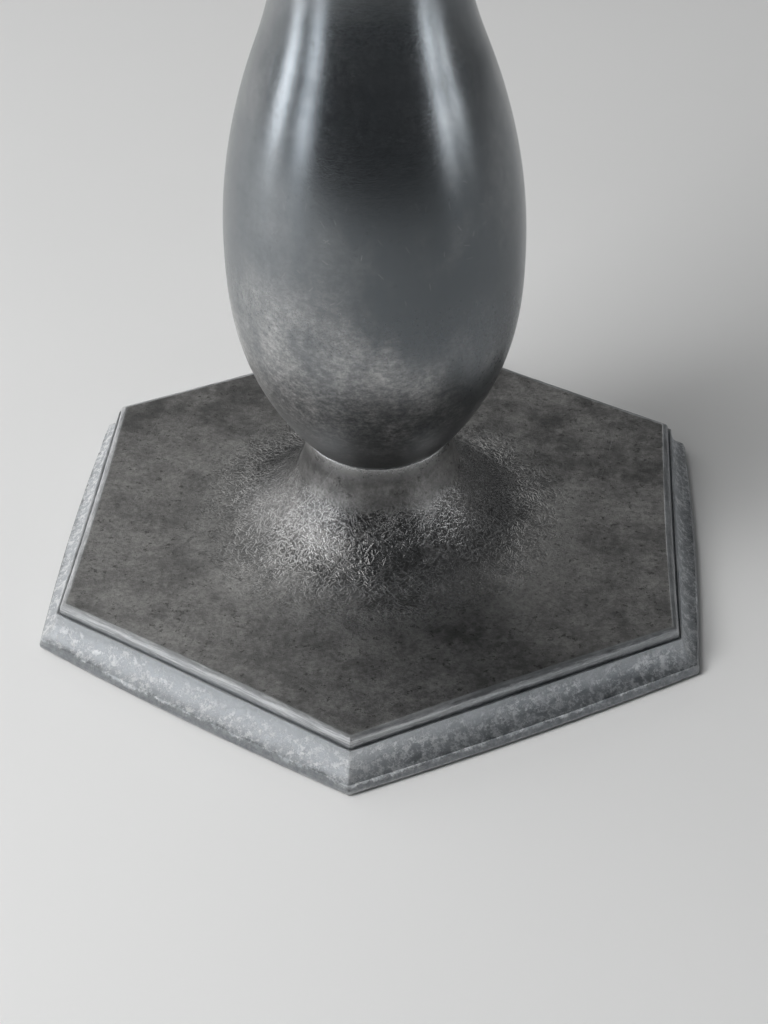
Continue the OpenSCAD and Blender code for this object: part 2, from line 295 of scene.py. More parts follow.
class Rows:
    """Closed rows of points gathered one by one, each with the values painted on it."""

    def __init__(self, turn):
        self.turn, self.points = turn, []
        self.masks = {key: [] for key in PLAIN_ROW}

    def add(self, radius, height, **painted):
        self.points.append(ring(radius, height, self.turn))
        for key, plain in PLAIN_ROW.items():
            self.masks[key].append(np.broadcast_to(painted.get(key, plain), self.turn.shape))

    def close(self, name, finish):
        masks = {key: np.array(values) for key, values in self.masks.items()}
        return surface(name, np.array(self.points), finish, masks=masks)


def make_foot(finish):
    """Foot: rounded-hexagon rows up the moulding, each side bowed by a parabola, rows that pass evenly from
    hexagon to circle over the plate, circles up the trumpet neck to the seat and spigot, then down the rod
    hole and back out under the web, the plate and the ledge."""
    turn, off = hexagon_turns(78)
    rows = Rows(turn)
    knocked = wobble(turn, 11, 90, KNOCKED)
    dented = wobble(turn, 12, 140, DENTED)
    burred = wobble(turn, 13, 230, BURR)
    corner_near = smooth_step(np.abs(np.degrees(off)), 27.5, 30.0)
    bow = 1 - (np.tan(off) / math.tan(math.radians(30))) ** 2
    for (inset, height), letter in zip(*moulding()):
        round_by = CORNER_ROUND + 0.25 * (letter in "eb")
        lift = 0.0
        if letter == "b":
            lift = knocked * smooth_step(height, EASE_R + 0.4, BAND_H)
        if letter == "h":
            lift = knocked * (1 - smooth_step(height, BAND_H, BAND_H + 1.2))
        reach = hexagon_reach(FOOT_FLAT - inset, round_by, off) - dented * DENT_SHARE[letter]
        reach = reach + bow * (BOW[0] + (BOW[1] - BOW[0]) * inset / MOULDING_W)
        worn = np.clip(FOOT_WEAR[letter] + 0.2 * corner_near, 0, 1)
        rows.add(reach, FOOT_Z + height + lift, rim=1.0, wear=worn, pit=float(letter == "g"), up=height)
    plate_z = FOOT_Z + MOULDING_H
    plate_edge = hexagon_reach(FOOT_FLAT - MOULDING_W, CORNER_ROUND, off) + bow * BOW[1]
    for share in np.concatenate([[0.012, 0.03], np.linspace(0.07, 1.0, 20)]):
        reach = (1 - share) * plate_edge + share * (NECK_R + SKIRT_W)
        burr = 1 - smooth_step(share, 0.0, 0.028)
        rows.add(reach, plate_z + burr * burred, wear=0.4 * burr)
    patchy = 1 + 0.30 * wobble(turn, 21, 14, 1.0)
    for share in np.linspace(0, 1, 100)[1:-1]:
        radius = NECK_R + SKIRT_W * (1 - share) ** 1.35
        height = plate_z + trumpet(radius)
        marks = smooth_step(radius, NECK_R + MARKS_START[0], NECK_R + MARKS_START[1])
        marks = marks * (1 - smooth_step(radius, *MARKS_END)) * patchy
        rows.add(radius, height, peen=np.clip(marks, 0, 1), seam=smooth_step(height, SEAT_Z - 4.0, SEAT_Z))
    for a in np.radians(np.linspace(0, 90, 5)):
        eased = (NECK_R - NECK_EDGE_R * (1 - math.cos(a)), SEAT_Z - NECK_EDGE_R * (1 - math.sin(a)))
        rows.add(*eased, seam=1.0, wear=0.4)
    spigot_z, web_z = SEAT_Z + SPIGOT_H, SEAT_Z - FOOT_WEB_H
    ceiling_z = plate_z - FOOT_PLATE_WALL
    inner = [(NECK_R - 2.0, SEAT_Z), (SPIGOT_R + 0.2, SEAT_Z), (SPIGOT_R, SEAT_Z), (SPIGOT_R, spigot_z)]
    inner += [(ROD_HOLE_R, spigot_z), (ROD_HOLE_R, web_z), (FOOT_CAVITY_R[1], web_z)]
    for radius, height in inner:
        rows.add(radius, height)
    for radius, height in along((FOOT_CAVITY_R[1], web_z), (FOOT_CAVITY_R[0], ceiling_z), 7, True)[1:]:
        rows.add(radius, height)
    rebate = hexagon_reach(FOOT_FLAT - FOOT_RIM_W, CORNER_ROUND, off)
    ledge = hexagon_reach(FOOT_FLAT - FOOT_RIM_W - FOOT_LEDGE_W, CORNER_ROUND, off)
    steps = [(ledge, ceiling_z), (ledge, BOARD_TOP_Z), (rebate, BOARD_TOP_Z), (rebate, FOOT_Z)]
    for reach, height in steps:
        rows.add(reach, height)
    return rows.close("seen_foot", finish)


def body_radius(height):
    """Radius of the body above its seat: a power curve down from the belly, two parabolas up to the top."""
    below = BELLY_R - (BELLY_R - BODY_BASE_R) * np.clip(1 - height / BELLY_H, 0, 1) ** LOWER_FULLNESS
    t = np.clip((height - BELLY_H) / (BODY_TOP_Z - SEAT_Z - BELLY_H), 0, 1)
    ease = np.where(t < SHOULDER_SHARE, t**2 / SHOULDER_SHARE, 1 - (1 - t) ** 2 / (1 - SHOULDER_SHARE))
    return np.where(height < BELLY_H, below, BELLY_R - (BELLY_R - BODY_TOP_R) * ease)


# small knocks: angle round the axis in degrees, height above the seat, half width, depth
KNOCKS = [
    (-97.9, 71.8, 0.5, 0.02), (-96.1, 69.0, 0.5, 0.02), (-72.5, 70.0, 0.5, 0.02), (-64.7, 58.2, 0.6, 0.05),
    (-42.5, 56.4, 0.8, 0.16), (-29.9, 51.2, 0.9, 0.16), (-58.8, 46.2, 0.7, 0.08), (35.0, 80.0, 0.8, 0.08),
    (110.0, 52.0, 0.9, 0.12), (160.0, 30.0, 0.8, 0.08), (62.0, 66.0, 0.7, 0.07),
]


def make_body(finish):
    """Body: circles of body_radius up the outside, with small dimples that fall off as a bell curve, and
    the inner wall back down between its two bores."""
    turn = np.linspace(0, 2 * math.pi, 400, endpoint=False)
    full_h = BODY_TOP_Z - SEAT_Z
    edge_r = BODY_EDGE_R
    ease = np.radians(np.linspace(0, 90, 5))
    heights = [edge_r * (1 - math.cos(a)) for a in ease[1:-1]]
    heights += list(edge_r + (full_h - 2 * edge_r) * np.linspace(0, 1, 176))
    heights += [full_h - edge_r * (1 - math.cos(a)) for a in ease[1:-1][::-1]] + [full_h]
    heights = np.array([0.0] + heights)
    tuck = edge_r * (1 - np.sqrt(1 - np.clip(1 - heights / edge_r, 0, 1) ** 2))
    tuck += edge_r * (1 - np.sqrt(1 - np.clip(1 - (full_h - heights) / edge_r, 0, 1) ** 2))
    reach = (body_radius(heights) - tuck)[:, None] + wobble(turn, 31, 7, OUT_OF_ROUND)[None, :]
    for angle, height, half_width, depth in KNOCKS:
        gap = np.angle(np.exp(1j * (turn - math.radians(angle)))) * BELLY_R
        far = (gap[None, :] ** 2 + (heights[:, None] - height) ** 2) / half_width**2
        reach = reach - depth * np.exp(-far)
    outer = [ring(r, SEAT_Z + h, turn) for r, h in zip(reach, heights)]
    inner_h = np.linspace(full_h - BODY_END, BODY_END, 24)
    inner = [ring(BODY_BORE_R[1], SEAT_Z + full_h, turn), ring(BODY_BORE_R[1], SEAT_Z + inner_h[0], turn)]
    inner += [ring(body_radius(h) - BODY_WALL, SEAT_Z + h, turn) for h in inner_h]
    inner += [ring(BODY_BORE_R[0], SEAT_Z + inner_h[-1], turn), ring(BODY_BORE_R[0], SEAT_Z, turn)]
    low = np.concatenate([heights, np.full(len(inner), 60.0)])
    facing = np.abs(np.angle(np.exp(1j * (turn - DARK_REFLECTION_ANGLE))))
    round_share = 1 - smooth_step(facing, *DARK_REFLECTION_SPREAD)
    # painted light: the low belly is painted paler towards its left, where the bright table is reflected
    painted_light_side = 0.68 + 0.32 * np.cos(turn - PAINTED_LIGHT_ANGLE)
    high_share = smooth_step(low, *DARK_REFLECTION_RISE) * (1 - smooth_step(low, *DARK_REFLECTION_FALL))
    masks = {
        "seam": 1 - smooth_step(low, *SEAM_FADE),
        "base": 1 - smooth_step(low, *BASE_FADE),
        "low": (1 - smooth_step(low, *PALE_FADE))[:, None] * painted_light_side[None, :],
        # painted dark reflection: the front of the middle and upper body is painted darker, standing in for
        # the dark room in front mirrored in the metal
        "painted_dark_reflection": high_share[:, None] * round_share[None, :],
    }
    return surface("seen_body", np.array(outer + inner), finish, masks=masks)


def make_turned(name, profile, finish, wear=None, steps=192, poles=False):
    """A turned part: each (radius, height) point of the profile carried round the axis."""
    turn = np.linspace(0, 2 * math.pi, steps, endpoint=False)
    points = np.asarray(profile, float)
    ends = (None, None)
    if poles:
        ends = ((0, 0, points[0][1]), (0, 0, points[-1][1]))
        points = points[1:-1]
    grid = np.array([ring(r, z, turn) for r, z in points])
    masks = {"wear": np.zeros(len(points)) if wear is None else np.asarray(wear, float)}
    return surface(name, grid, finish, *ends, masks=masks)


def make_collar(finish):
    """Collar: a step, a half-round bead, a second step and the hidden spigot below, round the rod hole."""
    top = collar_high[2]
    base = top - COLLAR_H
    step_r, step_h = COLLAR_STEP
    out, half = COLLAR_BEAD
    profile = [(ROD_HOLE_R, base - SPIGOT_H), (SPIGOT_R, base - SPIGOT_H), (SPIGOT_R, base)]
    profile += [(step_r - 0.3, base), (step_r, base + TURNED_EDGE), (step_r, base + step_h)]
    for a in np.radians(np.linspace(-88, 88, 25)):
        profile.append((step_r + out * math.cos(a), base + step_h + half + half * math.sin(a)))
    profile += [(COLLAR_TOP_R, base + step_h + 2 * half), (COLLAR_TOP_R, top - TURNED_EDGE)]
    profile += [(COLLAR_TOP_R - TURNED_EDGE, top), (ROD_HOLE_R, top)]
    wear = [0.6 if r > 17.0 else 0.0 for r, _ in profile]
    return make_turned("seen_collar", profile, finish, wear)


def make_capital(finish):
    """Capital: a quarter-oval flare from a narrow waist to a wide rim, bored for the rod and the spike."""
    base, top = capital_low[2], capital_high[2]
    profile = [(ROD_HOLE_R, base), (WAIST_R - TURNED_EDGE, base), (WAIST_R, base + TURNED_EDGE)]
    for a in np.radians(np.linspace(0, 90, 50)):
        radius = WAIST_R + (CAPITAL_RIM_R - WAIST_R) * (1 - math.cos(a))
        profile.append((radius, base + max(FLARE_H * math.sin(a), 0.3)))
    profile += [(CAPITAL_RIM_R, top - 0.3), (CAPITAL_RIM_R - 0.3, top), (SLEEVE_HOLE_R, top)]
    profile += [(SLEEVE_HOLE_R, top - SLEEVE_SINK), (ROD_HOLE_R, top - SLEEVE_SINK)]
    wear = [0.6 if r > 26.0 else 0.0 for r, _ in profile]
    return make_turned("seen_capital", profile, finish, wear)


def make_pan(finish):
    """Pan: the foot's moulding upside down, a top face that passes from hexagon to circle, a round recess,
    the spike's counterbore and hole, and a flat underside."""
    turn, off = hexagon_turns(58)
    rows = Rows(turn)
    dented = wobble(turn, 41, 110, PAN_DENTED)
    corner_near = smooth_step(np.abs(np.degrees(off)), 27.5, 30.0)
    edge, letters = moulding()
    for (inset, height), letter in zip(edge[::-1], letters[::-1]):
        reach = hexagon_reach(PAN_FLAT - inset, CORNER_ROUND, off) - dented
        worn = np.clip(PAN_WEAR[letter] + 0.3 * corner_near, 0, 1)
        rows.add(reach, PAN_TOP_Z - height, rim=1.0, wear=worn, pit=float(letter == "g"), up=height)
    top_edge = hexagon_reach(PAN_FLAT - EASE_R, CORNER_ROUND, off)
    for share in np.linspace(0.06, 0.94, 12):
        rows.add((1 - share) * top_edge + share * RECESS_R, PAN_TOP_Z)
    floor_z = PAN_TOP_Z - RECESS_DEPTH
    for a in np.radians([90, 60, 30, 0]):
        out, down = RECESS_EDGE_R * (1 - math.cos(a)), RECESS_EDGE_R * (1 - math.sin(a))
        rows.add(RECESS_R + out, PAN_TOP_Z - down, wear=0.6)
    for a in np.radians([0, 30, 60, 90]):
        rows.add(RECESS_R - RECESS_EDGE_R * (1 - math.cos(a)), floor_z + RECESS_EDGE_R * (1 - math.sin(a)))
    for radius in np.linspace(RECESS_R - 3, FLANGE_SEAT_R, 12):
        rows.add(radius, floor_z)
    rows.add(FLANGE_SEAT_R, floor_z - FLANGE_SEAT_D)
    rows.add(SLEEVE_HOLE_R, floor_z - FLANGE_SEAT_D)
    rows.add(SLEEVE_HOLE_R, PAN_UNDER_Z)
    under_edge = hexagon_reach(PAN_FLAT - MOULDING_W, CORNER_ROUND, off)
    for share in np.linspace(0.08, 0.96, 14):
        rows.add(share * under_edge + (1 - share) * SLEEVE_HOLE_R, PAN_UNDER_Z)
    return rows.close("seen_pan", finish)


def make_spike(finish):
    """Spike: a threaded sleeve closed at its inner end, a round flange and a long blunted cone."""
    flange_z = spike_high[2] - SPIKE_H
    sleeve_z = spike_low[2]
    blind_z = sleeve_z + SLEEVE_BORE
    cone_z = flange_z + 2 * FLANGE_H
    bore, out = SLEEVE_R
    profile = [(0.0, blind_z), (bore, blind_z), (bore, sleeve_z)]
    profile += [(out - TURNED_EDGE, sleeve_z), (out, sleeve_z + TURNED_EDGE), (out, flange_z)]
    profile += [(FLANGE_R, flange_z), (FLANGE_R, flange_z + FLANGE_H - TURNED_EDGE)]
    profile += [(FLANGE_R - TURNED_EDGE, flange_z + FLANGE_H), (CONE_R[0], cone_z)]
    for t in np.linspace(0.02, 1, 30):
        profile.append((CONE_R[0] + (CONE_R[1] - CONE_R[0]) * t, cone_z + CONE_H * t))
    profile += [(radius, spike_high[2] - deep) for radius, deep in SPIKE_TIP] + [(0.0, spike_high[2])]
    return make_turned("seen_spike", profile, finish, steps=96, poles=True)


def make_felt(finish):
    """Felt pad: rounded-hexagon rows out across the underside, up a soft edge and back across the top."""
    turn, off = hexagon_turns(48)
    low, high = felt_low[2], felt_high[2]

    def reach(inset):
        return hexagon_reach(felt_high[0] - inset, FELT_CORNER_R, off)

    rows = [share * reach(FELT_EDGE_R) for share in np.linspace(0.06, 1, 22)]
    heights = [low] * 22
    for a in np.radians(np.linspace(15, 90, 5)):
        rows.append(reach(FELT_EDGE_R * (1 - math.sin(a))))
        heights.append(low + FELT_EDGE_R * (1 - math.cos(a)))
    for a in np.radians(np.linspace(90, 0, 6)):
        rows.append(reach(FELT_EDGE_R * (1 - math.sin(a))))
        heights.append(high - FELT_EDGE_R * (1 - math.cos(a)))
    rows += [share * reach(FELT_EDGE_R) for share in np.linspace(0.9, 0.06, 8)]
    heights += [high] * 8
    grid = np.array([ring(r, z, turn) for r, z in zip(rows, heights)])
    return surface("seen_felt", grid, finish, (0, 0, low), (0, 0, high))


# ---------------------------------------------------------------- shader sums


class Sock:
    """One value or colour in a finish, joined to others with ordinary sums."""

    def __init__(self, finish, link):
        self.finish, self.link = finish, link

    def maths(self, how, *values):
        return self.finish.value(0, "ShaderNodeMath", {"operation": how}, dict(enumerate(values)))

    def __add__(self, other):
        return self.maths("ADD", self, other)

    def __sub__(self, other):
        return self.maths("SUBTRACT", self, other)

    def __mul__(self, other):
        return self.maths("MULTIPLY", self, other)

    def __truediv__(self, other):
        return self.maths("DIVIDE", self, other)

    def __pow__(self, other):
        return self.maths("POWER", self, other)

    def __rsub__(self, other):
        return self.maths("SUBTRACT", other, self)

    def __rtruediv__(self, other):
        return self.maths("DIVIDE", other, self)

    __radd__ = __add__
    __rmul__ = __mul__

    def most(self, other):
        return self.maths("MAXIMUM", self, other)

    def size(self):
        return self.maths("ABSOLUTE", self)

    def step(self, low, high, start=0.0, end=1.0):
        """start below low, end above high, and a smooth change between."""
        sockets = {0: self, 1: low, 2: high, 3: start, 4: end}
        return self.finish.value(0, "ShaderNodeMapRange", {"interpolation_type": "SMOOTHSTEP"}, sockets)


class Nodes:
    """A cleared node tree in which every node comes from one method."""

    def __init__(self, tree):
        self.tree = tree
        tree.nodes.clear()

    def feed(self, socket, value):
        """Joins a socket to a Sock, or gives it a plain value."""
        if isinstance(value, Sock):
            self.tree.links.new(value.link, socket)
        else:
            socket.default_value = value

    def make(self, kind, settings=None, sockets=None):
        """One node of that type, with its settings and its socket values."""
        node = self.tree.nodes.new(kind)
        for key, value in (settings or {}).items():
            setattr(node, key, value)
        for key, value in (sockets or {}).items():
            self.feed(node.inputs[key], value)
        return node

    def value(self, key, kind, settings=None, sockets=None):
        """One output, by name or number, of a new node."""
        return Sock(self, self.make(kind, settings, sockets).outputs[key])


class Finish(Nodes):
    """One material, built from nodes and sums."""

    def __init__(self, name, **constants):
        self.material = bpy.data.materials.new(name)
        self.material.use_nodes = True
        super().__init__(self.material.node_tree)
        self.shader = self.make("ShaderNodeBsdfPrincipled")
        self.out = self.make("ShaderNodeOutputMaterial", None, {0: Sock(self, self.shader.outputs[0])})
        self.wear(**constants)
        place = self.value("Object", "ShaderNodeTexCoord")
        self.place = self.vector("SCALE", place, scale=1000.0)  # millimetres
        self.facing = self.value("Normal", "ShaderNodeTexCoord")

    def vector(self, how, a, b=None, scale=None):
        """A sum on colours or places; the result is one value for the length and the dot product."""
        sockets = {0: a}
        if b is not None:
            sockets[1] = b
        if scale is not None:
            sockets["Scale"] = scale
        key = "Value" if how in ("DOT_PRODUCT", "LENGTH") else "Vector"
        return self.value(key, "ShaderNodeVectorMath", {"operation": how}, sockets)

    def mix(self, share, low, high):
        """Colour between low and high."""
        return self.value(2, "ShaderNodeMix", {"data_type": "RGBA"}, {0: share, 6: low, 7: high})

    def mask(self, name):
        """A value painted on the surface point by point."""
        return self.value("Fac", "ShaderNodeAttribute", {"attribute_name": name})

    def noise(self, grain, detail=3.0, rough=0.55, bend=0.0, place=None):
        """Cloudy values about 0.5, in lumps about grain millimetres wide."""
        sockets = {"Vector": place or self.place, "Scale": 1 / grain}
        sockets |= {"Detail": detail, "Roughness": rough, "Distortion": bend}
        return self.value(0, "ShaderNodeTexNoise", None, sockets)

    def stretched(self, across, up):
        """Place with its flat directions and its height scaled by different amounts."""
        return self.vector("MULTIPLY", self.place, (across, across, up))

    def leaning(self, angle, long_by, thin_by):
        """Place turned about the axis by an angle in degrees, then made long one way and thin the other."""
        a = math.radians(angle)
        first = self.vector("DOT_PRODUCT", self.place, (math.cos(a), math.sin(a), 0.25))
        second = self.vector("DOT_PRODUCT", self.place, (-math.sin(a), math.cos(a), 0.6))
        return self.value(0, "ShaderNodeCombineXYZ", None, {0: first * long_by, 1: second * thin_by})

    def strokes(self, grain, half_length, half_width, seed):
        """Short marks in the surface that each lie their own way, one to each scattered point about grain
        millimetres apart: 1 inside a mark, 0 outside."""
        place = self.vector("ADD", self.place, (seed, 2.3 * seed, 5.1 * seed))
        cells = self.make("ShaderNodeTexVoronoi", None, {"Vector": place, "Scale": 1 / grain})
        any_way = self.vector("SUBTRACT", Sock(self, cells.outputs["Color"]), (0.5, 0.5, 0.5))
        way = self.vector("NORMALIZE", self.vector("CROSS_PRODUCT", any_way, self.facing))
        gap = self.vector("SUBTRACT", place, Sock(self, cells.outputs["Position"]))
        run = self.vector("DOT_PRODUCT", gap, way)
        under = self.vector("DOT_PRODUCT", gap, self.facing)
        across = (self.vector("DOT_PRODUCT", gap, gap) - run * run - under * under).most(0.0) ** 0.5
        return across.step(half_width, 0.0) * run.size().step(half_length, 0.6 * half_length)

    def scratches(self, angle, width=0.35, length=26.0, keep=0.62):
        """Fine near-straight scratches that all run about one way: thin lines of a long noise."""
        long_place = self.leaning(angle, 1 / length, 1 / width)
        lines = self.noise(1.0, 2.0, 0.5, 0.6, long_place)
        where = self.noise(14.0, 2.0)
        return lines.step(keep + 0.06, keep + 0.12) * where.step(0.45, 0.6)

    def bump(self, height):
        """Relief from a height in millimetres."""
        return self.value(0, "ShaderNodeBump", None, {"Height": height, "Distance": 0.001, "Strength": 1.0})

    def wear(self, **inputs):
        """Feeds the shader's own sockets, and gives back the material."""
        for key, value in inputs.items():
            self.feed(self.shader.inputs[key.replace("_", " ")], value)
        return self.material


def grey(level, warm=0.0):
    """A near-neutral colour, a little warm if warm is above 0 and cool if below."""
    return (level * (1 + warm), level, level * (1 - warm), 1.0)


def cast_pewter():
    """Cast metal with a matt skin: cloudy patches, fine specks, short struck marks round the neck, a frosty
    mottle in the moulding's hollow and bright worn edges. As painted light, the plate is painted paler
    towards the left-front, and the moulding's hollow and worn edges paler on the left."""
    f = Finish("cast pewter", Metallic=1.0)
    rim, worn, peen = f.mask("rim"), f.mask("wear"), f.mask("peen")
    seam, pit, up = f.mask("seam"), f.mask("pit"), f.mask("up")
    cloud = f.noise(24.0, 6.0, 0.70).step(0.40, 0.62)
    blotch = f.noise(4.6, 6.0, 0.76).step(0.38, 0.64)
    grit = f.noise(1.2, 5.0, 0.85).step(0.34, 0.66)
    speck = f.noise(1.5, 4.0, 0.80, 0.0, f.vector("ADD", f.place, (31.0, 17.0, 5.0))).step(0.57, 0.66)
    frost = f.noise(1.5, 5.0, 0.85).step(0.46, 0.60)
    flecks = f.noise(0.55, 2.0, 0.5)
    struck = peen * (0.6 + 0.4 * f.noise(6.0, 3.0, 0.6).step(0.38, 0.6))
    strokes = f.strokes(1.30, 0.85, 0.22, 0.0).most(f.strokes(1.55, 1.00, 0.24, 7.0))
    strokes = strokes.most(0.9 * f.strokes(1.20, 0.80, 0.20, 13.0))
    strokes = strokes.most(0.8 * f.strokes(1.4, 0.9, 0.18, 19.0))
    marks = strokes * struck
    lines = f.scratches(25.0).most(f.scratches(-38.0)).most(f.scratches(80.0, 0.3, 34.0))
    face = f.mix(cloud * 0.55 + blotch * 0.45, grey(0.130, 0.0), grey(0.50, 0.02))
    # painted light: the plate's face is painted paler towards the left-front, where the lamps stand
    paling_share = f.vector("DOT_PRODUCT", f.place, (-0.6, -0.8, 0.0)).step(-5.0, 60.0)
    face = f.mix(paling_share * (0.25 + 0.25 * blotch), face, grey(0.56, 0.02))
    patch = f.noise(13.0, 5.0, 0.65, 0.0, f.vector("ADD", f.place, (7.0, 3.0, 9.0))).step(0.50, 0.64)
    face = f.mix(patch * 0.45, face, grey(0.62, 0.02))
    face = f.mix((1 - grit) * 0.6, face, grey(0.13, 0.02))
    face = f.mix(speck * 0.7, face, grey(0.07, 0.03))
    face = f.mix(lines * 0.35, face, grey(0.50))
    frosted = frost * (up + 2.0 * (blotch - 0.5)).step(7.0, 4.0)
    # painted light: the moulding's hollow, its frost and its worn edges are painted paler on the left,
    # where the lamps fall
    left = f.vector("DOT_PRODUCT", f.place, (-1.0, -0.25, 0.0)).step(-25.0, 30.0)
    side = f.mix(blotch * 0.5 + frost * 0.3, grey(0.36, -0.06), grey(0.62, -0.04))
    side = f.mix(left * 0.42, side, grey(0.90, -0.03))
    side = f.mix(frosted * (0.55 + 0.45 * left), side, grey(1.0, -0.01))
    band = 1 - (up + 1.0 * (blotch - 0.5) + 0.5 * (flecks - 0.5)).step(1.6, 2.3)
    side = f.mix(band * 0.8, side, f.mix(grit, grey(0.12, -0.06), grey(0.27, -0.06)))
    ribs = f.noise(1.0, 3.0, 0.6, 0.0, f.stretched(0.10, 2.6)).step(0.40, 0.60)
    # worn edges painted pale, and more so on the left as painted light
    rubbed_and_lit_edge = worn * (0.20 + 0.50 * left + 0.30 * grit) * (0.35 + 0.65 * ribs)
    colour = f.mix(rim, face, side)
    colour = f.mix(rim * worn * (1 - ribs) * 0.6, colour, grey(0.24))
    colour = f.mix(pit * 0.3, colour, grey(0.07))
    colour = f.mix(rubbed_and_lit_edge, colour, grey(0.88))
    colour = f.mix(struck * (1 - strokes) * 0.30, colour, grey(0.15))
    colour = f.mix(marks * 0.45, colour, grey(0.95))
    colour = f.mix(seam * 0.7, colour, grey(0.60))
    turned = f.noise(0.30, 2.0, 0.5, 0.0, f.stretched(0.05, 1.0))
    rough = 0.43 + 0.12 * (blotch - 0.5) + 0.10 * (grit - 0.5) - 0.26 * peen - 0.06 * worn - 0.20 * seam
    relief = 0.022 * grit + 0.020 * blotch * (1 - seam) - 0.012 * lines - 0.015 * speck
    relief = relief - 0.060 * marks + 0.05 * rim * worn * ribs + rim * (0.035 * frost + 0.02 * flecks)
    relief = relief + worn * 0.02 * flecks * (1 - seam) + 0.020 * seam * turned
    return f.wear(Base_Color=colour, Roughness=rough.most(0.16), Normal=f.bump(relief))


def satin_pewter():
    """Spun metal with a blue-grey skin, worn by rubbing: soft clouds, more mottled and paler low on the
    belly, the paleness partly painted light and strongest on the left; the front of the middle and upper
    body is painted darker as a painted dark reflection.
    """
    f = Finish("satin pewter", Metallic=1.0, Anisotropic=0.15, Anisotropic_Rotation=0.25)
    seam, low, painted_dark_reflection, base = f.mask("seam"), f.mask("low"), f.mask("painted_dark_reflection"), f.mask("base")
    drift = f.noise(24.0, 5.0, 0.62, 0.0, f.stretched(1.0, 0.6)).step(0.36, 0.66)
    blotch = f.noise(1.9, 6.0, 0.85, 0.0, f.stretched(1.0, 1.5)).step(0.36, 0.66)
    grit = f.noise(0.8, 5.0, 0.85).step(0.34, 0.66)
    turned = f.noise(0.5, 2.0, 0.5, 0.0, f.stretched(0.02, 1.0))
    rings = f.noise(4.0, 3.0, 0.6, 0.0, f.stretched(0.05, 1.0)).step(0.35, 0.65)
    # faint rubbing streaks, a little paler, rougher and raised
    paling_share = f.noise(1.0, 3.0, 0.65, 0.0, f.stretched(1.0, 0.07)).step(0.35, 0.65)
    speck = f.noise(1.6, 4.0, 0.80).step(0.60, 0.68)
    nicks = f.strokes(7.0, 0.9, 0.13, 3.0).most(f.strokes(9.0, 0.6, 0.15, 9.0)) * drift
    skin = drift * 0.75 + rings * 0.17 + paling_share * 0.08
    colour = f.mix(skin, (0.235, 0.256, 0.274, 1.0), (0.335, 0.352, 0.366, 1.0))
    # painted dark reflection: the front of the middle and upper body is painted darker
    colour = f.mix(painted_dark_reflection * 0.80, colour, (0.115, 0.128, 0.140, 1.0))
    # the paler, more mottled lower belly: partly the metal's own mottle, partly painted light strongest on
    # the left
    pale = f.mix(blotch * 0.6 + drift * 0.4, grey(0.36, 0.0), grey(0.97, 0.01))
    uneven = (low + 0.45 * (drift - 0.5)).step(0.05, 0.90)
    colour = f.mix(uneven * (0.55 + 0.45 * blotch), colour, pale)
    colour = f.mix(painted_dark_reflection * 0.45, colour, (0.10, 0.11, 0.12, 1.0))
    colour = f.mix((1 - grit) * (0.18 + 0.42 * low), colour, grey(0.12))
    colour = f.mix(speck * (0.25 + 0.3 * low), colour, grey(0.09))
    colour = f.mix(nicks * 0.3, colour, grey(0.45))
    colour = f.mix(base * 0.6, colour, grey(0.44, -0.02))
    colour = f.mix(seam * 0.3, colour, grey(0.2))
    rough = 0.225 + 0.08 * (blotch - 0.5) * (0.2 + low) + 0.03 * (grit - 0.5) + 0.16 * low + 0.02 * paling_share
    relief = 0.005 * grit + 0.007 * blotch * (0.10 + low) + 0.003 * turned + 0.002 * paling_share
    relief = relief - 0.008 * speck - 0.008 * nicks
    return f.wear(Base_Color=colour, Roughness=rough, Normal=f.bump(relief))


def turned_pewter():
    """Turned metal with faint rings, bright on the proud bead."""
    f = Finish("turned pewter", Metallic=1.0)
    worn = f.mask("wear")
    rings = f.noise(0.35, 2.0, 0.5, 0.0, f.stretched(0.02, 1.0))
    blotch = f.noise(4.0, 4.0, 0.6, 0.5).step(0.38, 0.66)
    colour = f.mix(blotch, grey(0.25, -0.02), grey(0.33, -0.02))
    colour = f.mix(worn * 0.5, colour, grey(0.5))
    relief = f.bump(0.010 * rings + 0.006 * blotch)
    return f.wear(Base_Color=colour, Roughness=0.34 + 0.08 * (blotch - 0.5), Normal=relief)


def steel(name, level, rough, cool=0.0):
    """Plated or plain steel: fine drawn grain and small stains."""
    f = Finish(name, Metallic=1.0)
    grain = f.noise(0.3, 2.0, 0.5, 0.0, f.stretched(1.0, 0.15))
    stain = f.noise(2.5, 4.0, 0.6).step(0.5, 0.7)
    colour = f.mix(stain * 0.5, grey(level, cool), grey(level * 0.6, 0.05))
    relief = f.bump(0.006 * grain + 0.004 * stain)
    return f.wear(Base_Color=colour, Roughness=rough + 0.12 * (stain - 0.3), Normal=relief)


def felt():
    """Pressed dark green-grey wool: short curled fibres, no shine."""
    f = Finish("pressed felt", Roughness=0.95, Specular_IOR_Level=0.15)
    fuzz = f.noise(0.35, 4.0, 0.75, 1.5)
    tufts = f.noise(1.6, 3.0, 0.6, 0.8)
    fibres = f.strokes(0.7, 0.6, 0.10, 3.0).most(f.strokes(0.9, 0.8, 0.12, 11.0))
    colour = f.mix(fuzz * 0.6 + tufts * 0.4, (0.018, 0.030, 0.024, 1.0), (0.060, 0.085, 0.070, 1.0))
    colour = f.mix(fibres * 0.5, colour, (0.11, 0.14, 0.12, 1.0))
    return f.wear(Base_Color=colour, Normal=f.bump(0.12 * fuzz + 0.08 * tufts + 0.05 * fibres))


def board():
    """Grey-brown pulp board: flecks and short fibres."""
    f = Finish("pulp board", Roughness=0.9, Specular_IOR_Level=0.2)
    pulp = f.noise(0.8, 4.0, 0.7)
    fibres = f.strokes(1.4, 1.1, 0.12, 5.0)
    colour = f.mix(pulp, (0.14, 0.105, 0.07, 1.0), (0.27, 0.215, 0.155, 1.0))
    colour = f.mix(fibres * 0.5, colour, (0.08, 0.06, 0.045, 1.0))
    return f.wear(Base_Color=colour, Normal=f.bump(0.05 * pulp + 0.03 * fibres))


